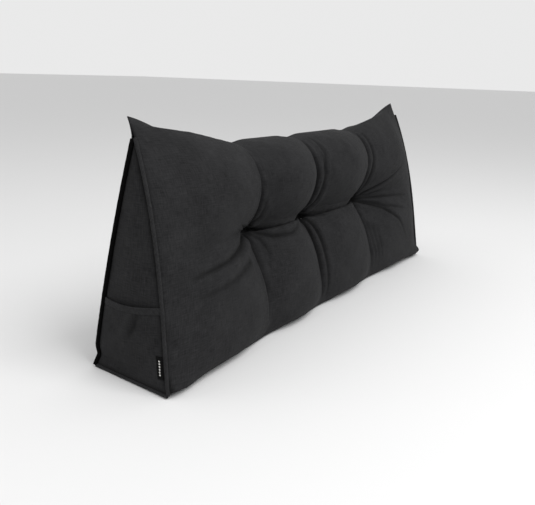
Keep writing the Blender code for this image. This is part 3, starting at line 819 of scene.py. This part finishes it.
# ---------------------------------------------------------------- tubes
def tube_object(name, path, radius, sides=14, waver=0.0):
    """A closed tube along a path, its cut laid out along and around it."""
    bm = bmesh.new()
    uv = bm.loops.layers.uv.new("cut")
    rings, runs = [], []
    side = None
    run = 0.0
    for i, point in enumerate(path):
        ahead = (path[min(i + 1, len(path) - 1)] - path[max(i - 1, 0)]).normalized()
        if side is None:
            side = ahead.orthogonal().normalized()
        side = (side - ahead * side.dot(ahead)).normalized()
        other = ahead.cross(side)
        if i:
            run += (point - path[i - 1]).length
        here = radius * (1.0 + waver * math.sin(run * 173.0) + waver * math.sin(run * 411.0 + 1.0))
        ring = []
        for k in range(sides):
            angle = 2 * math.pi * k / sides
            ring.append(bm.verts.new(point + (side * math.cos(angle) + other * math.sin(angle)) * here))
        rings.append(ring)
        runs.append(run)
    around = 2 * math.pi * radius
    for i in range(len(rings) - 1):
        for k in range(sides):
            j = (k + 1) % sides
            face = bm.faces.new((rings[i][k], rings[i][j], rings[i + 1][j], rings[i + 1][k]))
            face.smooth = True
            corners = ((runs[i], k), (runs[i], k + 1), (runs[i + 1], k + 1), (runs[i + 1], k))
            for loop, (length, step) in zip(face.loops, corners):
                loop[uv].uv = (length, around * step / sides)
    for ring, sign in ((rings[0], -1), (rings[-1], 1)):
        tip = bm.verts.new(sum((v.co for v in ring), Vector()) / sides)
        ahead = (path[1] - path[0]) if sign < 0 else (path[-1] - path[-2])
        tip.co += ahead.normalized() * sign * radius * 0.55
        for k in range(sides):
            j = (k + 1) % sides
            face = bm.faces.new((ring[j], ring[k], tip) if sign < 0 else (ring[k], ring[j], tip))
            face.smooth = True
    bmesh.ops.recalc_face_normals(bm, faces=bm.faces)
    return mesh_object(name, bm)


def make_piping(name, seam, end, radius, count=110):
    """Covered cord along a seam, from its foot to a share of its length."""
    path = [seam(end * i / count) for i in range(count + 1)]
    return tube_object(name, path, radius, waver=0.018)


# ---------------------------------------------------------------- materials
def linear(code):
    """An sRGB hex colour as linear light."""
    parts = [int(code[i:i + 2], 16) / 255 for i in (0, 2, 4)]
    return tuple(p / 12.92 if p <= 0.04045 else ((p + 0.055) / 1.055) ** 2.4 for p in parts) + (1.0,)


def add_node(tree, kind, settings=None, inputs=None, links=None):
    """Adds a node, gives it its settings and values, and links sockets to its inputs."""
    node = tree.nodes.new(kind)
    for name, value in (settings or {}).items():
        setattr(node, name, value)
    for name, value in (inputs or {}).items():
        node.inputs[name].default_value = value
    for name, socket in (links or {}).items():
        tree.links.new(socket, node.inputs[name])
    return node


def new_material(name):
    material = bpy.data.materials.new(name)
    material.use_nodes = True
    tree = material.node_tree
    return material, tree, tree.nodes["Principled BSDF"]


def grain(tree, scale, detail, distortion=0.0):
    """Uneven grain through the piece, from 0 to 1."""
    place = add_node(tree, "ShaderNodeTexCoord").outputs["Object"]
    values = {"Scale": scale, "Detail": detail, "Distortion": distortion}
    return add_node(tree, "ShaderNodeTexNoise", inputs=values, links={"Vector": place}).outputs["Fac"]


def scaled(colour, factor):
    """A colour made darker or lighter."""
    return tuple(min(part * factor, 1.0) for part in colour[:3]) + (1.0,)


def colour_by(tree, shader, factor, first, second):
    """Colours the surface between two colours, by a value from 0 to 1."""
    tint = add_node(tree, "ShaderNodeMix", {"data_type": "RGBA"}, {"A": first, "B": second},
                    {"Factor": factor})
    tree.links.new(tint.outputs["Result"], shader.inputs["Base Color"])


def raise_by(tree, shader, height, strength, distance):
    """Roughens the surface by a value from 0 to 1."""
    bump = add_node(tree, "ShaderNodeBump", inputs={"Strength": strength, "Distance": distance},
                    links={"Height": height})
    tree.links.new(bump.outputs["Normal"], shader.inputs["Normal"])


def woven_cloth(name, dark, light, thread=2.2, relief=0.6, sheen=0.02, turn=0, specular=0.1):
    """Plain-woven linen-look polyester: matte, with crossed threads, uneven slubs and painted shade where a
    piece marks it.
    """
    material, tree, shader = new_material(name)
    flat = add_node(tree, "ShaderNodeUVMap", {"uv_map": "cut"}).outputs["UV"]
    cut = add_node(tree, "ShaderNodeMapping", inputs={"Rotation": (0.0, 0.0, math.radians(turn))},
                   links={"Vector": flat}).outputs["Vector"]
    waves = []
    for axis in ("X", "Y"):
        wave = add_node(tree, "ShaderNodeTexWave",
                        {"bands_direction": axis, "wave_profile": "SIN"},
                        {"Scale": 1.0 / (thread * MM) / 3.1831, "Distortion": 1.2,
                         "Detail": 2.0, "Detail Scale": 0.4},
                        {"Vector": cut})
        waves.append(wave.outputs["Fac"])
    weave = add_node(tree, "ShaderNodeMath", {"operation": "MULTIPLY"}, links={0: waves[0], 1: waves[1]})
    slubs = []
    for stretch in ((1.0 / 22, 1.0 / 1.6, 1.0), (1.0 / 1.6, 1.0 / 22, 1.0)):
        scale = tuple(s * 1000 for s in stretch)
        mapped = add_node(tree, "ShaderNodeMapping", inputs={"Scale": scale}, links={"Vector": cut})
        streaks = add_node(tree, "ShaderNodeTexNoise",
                           inputs={"Scale": 1.0, "Detail": 3.0, "Roughness": 0.6},
                           links={"Vector": mapped.outputs["Vector"]})
        slubs.append(streaks.outputs["Fac"])
    slub = add_node(tree, "ShaderNodeMath", {"operation": "ADD"}, links={0: slubs[0], 1: slubs[1]})
    mottle = add_node(tree, "ShaderNodeTexNoise", inputs={"Scale": 14.0, "Detail": 5.0},
                      links={"Vector": cut})
    half = add_node(tree, "ShaderNodeMath", {"operation": "MULTIPLY_ADD"}, {1: 0.45, 2: 0.0},
                    links={0: mottle.outputs["Fac"]})
    shade = add_node(tree, "ShaderNodeMath", {"operation": "MULTIPLY_ADD"}, {1: 0.9},
                     links={0: slub.outputs[0], 2: half.outputs[0]})
    ramp = add_node(tree, "ShaderNodeMapRange", inputs={"From Min": 0.88, "From Max": 1.40},
                    links={"Value": shade.outputs[0]})
    tint = add_node(tree, "ShaderNodeMix", {"data_type": "RGBA"},
                    {"A": linear(dark), "B": linear(light)}, {"Factor": ramp.outputs["Result"]})
    # Painted shade: the "shade" attribute darkens the colour towards near-black 040404 in folds, pits and
    # along seams.
    deep = add_node(tree, "ShaderNodeAttribute", {"attribute_name": "shade"})
    painted_shade_mix = add_node(tree, "ShaderNodeMix", {"data_type": "RGBA"}, {"B": linear("040404")},
                      {"Factor": deep.outputs["Fac"], "A": tint.outputs["Result"]})
    tree.links.new(painted_shade_mix.outputs["Result"], shader.inputs["Base Color"])
    height = add_node(tree, "ShaderNodeMath", {"operation": "MULTIPLY_ADD"}, {1: 0.6},
                      links={0: slub.outputs[0], 2: weave.outputs[0]})
    raise_by(tree, shader, height.outputs[0], relief, 0.5 * MM)
    shader.inputs["Roughness"].default_value = 0.92
    shader.inputs["Specular IOR Level"].default_value = specular
    shader.inputs["Sheen Weight"].default_value = sheen
    shader.inputs["Sheen Roughness"].default_value = 0.5
    return material


def dress(piece, material, slot, *nodes):
    """Gives a new piece its material and its body, and hides the nodes of the frame that it stands for."""
    piece.data.materials.clear()
    piece.data.materials.append(material)
    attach(piece, BODY)
    if nodes:
        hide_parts(*nodes)
    return piece


def spun(name, colour):
    """Spun polyester thread: a soft dull gloss, twisted along its length."""
    material, tree, shader = new_material(name)
    place = add_node(tree, "ShaderNodeTexCoord").outputs["Object"]
    twist = add_node(tree, "ShaderNodeTexWave", {"bands_direction": "DIAGONAL"},
                     {"Scale": 0.314 / (0.8 * MM), "Distortion": 1.0}, {"Vector": place})
    colour_by(tree, shader, twist.outputs["Fac"], linear(colour), scaled(linear(colour), 1.8))
    raise_by(tree, shader, twist.outputs["Fac"], 0.4, 0.2 * MM)
    shader.inputs["Roughness"].default_value = 0.6
    shader.inputs["Sheen Weight"].default_value = 0.1
    return material


def moulded(name, colour, roughness):
    """Moulded plastic or foam: even in colour with a fine pebbled skin."""
    material, tree, shader = new_material(name)
    colour_by(tree, shader, grain(tree, 30.0, 2.0), scaled(linear(colour), 0.8), linear(colour))
    raise_by(tree, shader, grain(tree, 900.0, 3.0), 0.25, 0.2 * MM)
    shader.inputs["Roughness"].default_value = roughness
    shader.inputs["IOR"].default_value = 1.50
    return material


def plated(name, colour):
    """Die-cast zinc with a dark plating, rubbed a little brighter in places."""
    material, tree, shader = new_material(name)
    rub = grain(tree, 260.0, 4.0)
    colour_by(tree, shader, rub, linear(colour), scaled(linear(colour), 1.7))
    polish = add_node(tree, "ShaderNodeMapRange", inputs={"To Min": 0.22, "To Max": 0.42},
                      links={"Value": rub})
    tree.links.new(polish.outputs["Result"], shader.inputs["Roughness"])
    shader.inputs["Metallic"].default_value = 1.0
    return material


def fibre():
    """Loose polyester fibre: white, springy and softly streaked."""
    material, tree, shader = new_material("white_polyester_fibre")
    strands = grain(tree, 220.0, 6.0, 2.0)
    colour_by(tree, shader, strands, linear("d0cfcb"), linear("f2f1ee"))
    raise_by(tree, shader, strands, 0.6, 1 * MM)
    shader.inputs["Roughness"].default_value = 0.95
    return material


def label_cloth():
    """Satin-woven label: black ground with a chain of small off-white diamonds."""
    material, tree, shader = new_material("black_satin_label")
    cut = add_node(tree, "ShaderNodeUVMap", {"uv_map": "cut"}).outputs["UV"]
    axes = add_node(tree, "ShaderNodeSeparateXYZ", links={"Vector": cut})

    def math_node(kind, first, second=None, third=None):
        node = add_node(tree, "ShaderNodeMath", {"operation": kind})
        for index, value in enumerate((first, second, third)):
            if isinstance(value, (int, float)):
                node.inputs[index].default_value = value
            elif value is not None:
                tree.links.new(value, node.inputs[index])
        return node.outputs[0]

    across = math_node("ABSOLUTE", axes.outputs["X"])
    beat = math_node("PINGPONG", axes.outputs["Y"], 2.6 * MM)
    along = math_node("SUBTRACT", 2.6 * MM, beat)
    size = math_node("ADD", across, along)
    diamond = math_node("LESS_THAN", size, 2.0 * MM)
    core = math_node("GREATER_THAN", size, 0.9 * MM)
    ring = math_node("MULTIPLY", diamond, core)
    inside = math_node("LESS_THAN", math_node("ABSOLUTE", axes.outputs["Y"]), 14.5 * MM)
    figure = math_node("MULTIPLY", ring, inside)
    colour_by(tree, shader, figure, linear("050505"), linear("e6e5e1"))
    ribs = add_node(tree, "ShaderNodeTexWave", {"bands_direction": "Y"}, {"Scale": 0.314 / (0.5 * MM)},
                    {"Vector": cut})
    raise_by(tree, shader, ribs.outputs["Fac"], 0.3, 0.15 * MM)
    shader.inputs["Roughness"].default_value = 0.7
    shader.inputs["Specular IOR Level"].default_value = 0.08
    return material


def paint(node, material):
    """Gives a node of the frame a better material."""
    piece = bpy.data.objects[node]
    piece.data.materials.clear()
    piece.data.materials.append(material)


# ---------------------------------------------------------------- label, buttons and zip
LABEL_WIDTH = 13 * MM
LABEL_HEIGHT = 44 * MM
LABEL_FOOT = 28 * MM      # up the end from the base
LABEL_GAP = 4.5 * MM      # from the front seam


def make_label():
    """A woven loop label lying flat on the end, caught in the front seam."""
    def place(s, t):
        share = (LABEL_FOOT + LABEL_HEIGHT * t) / END_HEIGHT
        seam = end_point(0.0, share)
        inward = (end_point(0.5, share) - seam).normalized()
        point = seam + inward * (LABEL_GAP + LABEL_WIDTH * s)
        lift = 2.6 * MM + 1.2 * MM * s + 0.5 * MM * math.sin(2.2 * math.pi * t)
        on_end = end_point((LABEL_GAP + LABEL_WIDTH * s) / END_WIDTH, share)
        return Vector((on_end.x - lift - 1.0 * MM, point.y, point.z))

    label = sheet_object("woven_side_label", 8, 24, place,
                         lambda s, t: ((s - 0.5) * LABEL_WIDTH, (t - 0.5) * LABEL_HEIGHT))[0]
    label.data.flip_normals()
    thicken(label, 0.8 * MM)
    return label


def tuft_seat(front, tuft):
    """The deepest point of the front at a tuft, where the button sits."""
    points = coordinates(front.data)
    near = np.hypot(points[:, 0] - tuft.x, points[:, 2] - tuft.z) < 10 * MM
    deepest = points[near][np.argmax(points[near][:, 1])]
    return Vector((tuft.x, deepest[1] - 5.5 * MM, deepest[2]))


TOOTH_PITCH = 2.0 * MM
TOOTH_SIZE = (1.15 * MM, 2.9 * MM, 1.5 * MM)
TEETH_APART = 0.7 * MM    # each side's teeth stand this far off the middle
ZIP_SEAM_HALF = 0.565


def make_coil(edge):
    """One side of the zip: nylon teeth, one every pitch, half a pitch off the other side's."""
    low, high = (Vector(corner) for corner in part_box("zip_coil_" + edge))
    middle = (low + high) / 2
    lean = -1.0 if edge == "upper" else 1.0
    bpy.ops.object.select_all(action="DESELECT")
    bpy.ops.mesh.primitive_cube_add(size=1.0, location=(0.0, 0.0, 0.0))
    tooth = bpy.context.object
    tooth.scale = TOOTH_SIZE
    settle(tooth)
    bpy.ops.object.mode_set(mode="EDIT")
    bpy.ops.mesh.select_all(action="SELECT")
    bpy.ops.mesh.bevel(offset=0.42 * MM, segments=2, affect="EDGES")
    bpy.ops.object.mode_set(mode="OBJECT")
    shape = coordinates(tooth.data)
    faces = [list(polygon.vertices) for polygon in tooth.data.polygons]
    bpy.data.objects.remove(tooth)
    offset = 0.0 if edge == "upper" else TOOTH_PITCH / 2
    count = int((high.x - low.x) / TOOTH_PITCH) - 1
    turned = (shape[:, [0]] * np.array([[1.0, 0.0, 0.0]]) + shape[:, [1]] * np.array([list(BACK_UP)])
              + shape[:, [2]] * np.array([list(BACK_OUT)]))
    points, polygons = [], []
    for k in range(count):
        seat = np.array([low.x + 1.2 * MM + offset + k * TOOTH_PITCH,
                         *(middle + BACK_UP * lean * TEETH_APART)[1:]])
        first = len(points) * len(shape)
        points.append(turned + seat)
        polygons += [[first + index for index in face] for face in faces]
    mesh = bpy.data.meshes.new("zip_teeth_" + edge)
    mesh.from_pydata(np.concatenate(points).tolist(), [], polygons)
    mesh.shade_smooth()
    return add_object(mesh.name, mesh)


def make_zip_stitches():
    """Two rows of stitching that hold the tapes to the edges of the back."""
    rows = []
    for edge, height in (("upper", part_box("back_panel_upper")[0][2] + 5 * MM),
                         ("lower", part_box("back_panel_lower")[1][2] - 5 * MM)):
        path = [Vector((x, back_plane(height), height)) + BACK_OUT * 1.2 * MM
                for x in np.linspace(-ZIP_SEAM_HALF, ZIP_SEAM_HALF, 60)]
        rows.append(stitches("zip_stitching_" + edge, path, BACK_OUT))
    return rows


# ---------------------------------------------------------------- build
linen = woven_cloth("charcoal_linen_weave", "171718", "2a2a2b")
cord_linen = woven_cloth("charcoal_piping_cloth", "1b1b1c", "2c2c2d", turn=45)
black_cord = woven_cloth("black_piping_cloth", "040404", "080808", thread=1.4, sheen=0.0, turn=45,
                         specular=0.05)
thread_nylon = spun("black_sewing_thread", "101012")
liner_cloth = woven_cloth("white_lining_cloth", "c9c7c2", "dcdad6", thread=1.2)
tape_cloth = woven_cloth("black_zip_tape_weave", "0d0d0f", "17171a", thread=0.9)
coil_nylon = moulded("black_nylon_coil", "111113", 0.38)
board_foam = moulded("pale_foam_board", "b9bcc0", 0.85)
washer_nylon = moulded("white_nylon_washer", "d8d6d0", 0.42)
gunmetal = plated("dark_plated_zinc", "55565a")
label_weave = label_cloth()
wadding = fibre()

front = make_front()
fold_front(front)
liner = make_filling("inner_cushion_liner", front, 7 * MM, 23 * MM)
filling = make_filling("inner_cushion_fibre", front, 10 * MM, 26 * MM)
dress(front, linen, "linen", "front_panel")
dress(liner, liner_cloth, "liner", "inner_liner")
dress(filling, wadding, "fibre", "fibre_fill")

end_left = make_end()
end_right = mirror_copy(end_left, "cover_end_right")
for piece, node in ((end_left, "end_panel_left"), (end_right, "end_panel_right")):
    thicken(piece)
    dress(piece, linen, "linen", node)

back_upper, back_lower, base = make_back_upper(), make_back_lower(), make_base()
for piece, node, flat, board in ((back_upper, "back_panel_upper", BACK_SIZE, "back_board"),
                                 (back_lower, "back_panel_lower", BACK_LOWER_SIZE, "back_board"),
                                 (base, "base_panel", BASE_SIZE, "base_board")):
    thicken(piece)
    dress(piece, linen, "linen", node)

SIDES = (("left", lambda point: point), ("right", mirrored))
for side, turn in SIDES:
    proud = Vector((-1.2 * MM, -1.5 * MM, 0.0))
    cord = make_piping("piping_cord_front_" + side, lambda t: turn(front_seam(t) + proud),
                       APEX_SHARE, PIPING)
    dress(cord, cord_linen, "self_piping", "piping_front_" + side)
    behind = Vector((-2.2 * MM, 2.4 * MM, 0.0))
    cord = make_piping("piping_cord_back_" + side, lambda t: turn(back_seam(t) + behind),
                       APEX_SHARE - 0.004, BLACK_PIPING)
    dress(cord, black_cord, "black_piping", "piping_back_" + side)
    below = Vector((-1.8 * MM, 0.0, -1.6 * MM))
    cord = make_piping("piping_cord_base_" + side, lambda t: turn(base_seam(t) + below), 1.0, PIPING)
    dress(cord, cord_linen, "self_piping", "piping_base_" + side)

pocket, hem = make_pocket(), make_hem()
seam_row = [pocket_point(i / 60, 1.0 - 0.80 * HEM_WIDTH / POCKET_SIZE[1], 1.6 * MM)
            for i in range(2, 59)]
hem_thread = stitches("side_pocket_stitching", seam_row, Vector((-1.0, 0.0, 0.0)))
thicken(pocket, 1.2 * MM, 1.0)
thicken(hem, 1.2 * MM, 1.0)
dress(pocket, linen, "pocket_linen", "side_pocket")
dress(hem, cord_linen, "pocket_linen", "pocket_hem")
dress(hem_thread, thread_nylon, "pocket_linen")

label = make_label()
dress(label, label_weave, "label", "side_label")

for side, tuft in zip(("left", "centre", "right"), TUFTS):
    button = make_button(side, tuft_seat(front, tuft))
    dress(button, linen, "button_linen", "tuft_button_" + side)
    for node, finish in (("tuft_twine_", thread_nylon), ("tuft_washer_", washer_nylon)):
        paint(node + side, finish)

for edge in ("upper", "lower"):
    paint("zip_tape_" + edge, tape_cloth)
    coil = make_coil(edge)
    dress(coil, coil_nylon, "zip_coil", "zip_coil_" + edge)
for node in ("zip_stop_closed", "zip_stop_open", "zip_slider", "zip_pull"):
    paint(node, gunmetal)
for node in ("back_board", "base_board"):
    paint(node, board_foam)
for piece in make_zip_stitches():
    dress(piece, thread_nylon, "zip_tape")


# ---------------------------------------------------------------- floor, light and camera
def area_light(name, place, aim, size, power):
    light = bpy.data.lights.new(name, "AREA")
    light.shape = "RECTANGLE"
    light.size, light.size_y = size
    light.energy = power
    lamp = bpy.data.objects.new(name, light)
    lamp.location = place
    lamp.rotation_euler = (Vector(aim) - Vector(place)).to_track_quat("-Z", "Y").to_euler()
    bpy.context.scene.collection.objects.link(lamp)


bpy.ops.object.select_all(action="DESELECT")
bpy.ops.mesh.primitive_plane_add(size=90.0, location=(0.0, 0.0, 0.0))
floor = bpy.context.object
floor.name = "studio_floor"
paper, paper_tree, paper_shader = new_material("white_studio_paper")
paper_shader.inputs["Base Color"].default_value = linear("d9d9d9")
paper_shader.inputs["Roughness"].default_value = 0.9
floor.data.materials.append(paper)

area_light("key", (-0.4, -2.1, 2.7), (0.0, 0.0, 0.2), (2.0, 2.0), 82)
area_light("side", (-2.4, 1.8, 1.6), (-0.6, 0.0, 0.25), (1.6, 1.6), 9)
world = bpy.data.worlds.new("studio")
bpy.context.scene.world = world
world.use_nodes = True
world.node_tree.nodes["Background"].inputs["Color"].default_value = (1, 1, 1, 1)
world.node_tree.nodes["Background"].inputs["Strength"].default_value = 0.82
bpy.context.scene.view_settings.view_transform = "Standard"

CAMERA_PLACE = Vector((-1.359, -0.793, 0.566))
CAMERA_HEADING = math.radians(56.8)    # clockwise from +Y
CAMERA_DIP = math.radians(15.9)
CAMERA_ROLL = math.radians(1.85)
camera = bpy.data.cameras.new("camera")
camera.sensor_width = 36.0
camera.lens = 42.05
viewer = bpy.data.objects.new("camera", camera)
ahead = Vector((math.sin(CAMERA_HEADING) * math.cos(CAMERA_DIP),
                math.cos(CAMERA_HEADING) * math.cos(CAMERA_DIP), -math.sin(CAMERA_DIP)))
viewer.matrix_world = (Matrix.Translation(CAMERA_PLACE)
                       @ ahead.to_track_quat("-Z", "Y").to_matrix().to_4x4()
                       @ Matrix.Rotation(CAMERA_ROLL, 4, "Z"))
bpy.context.scene.collection.objects.link(viewer)
bpy.context.scene.camera = viewer
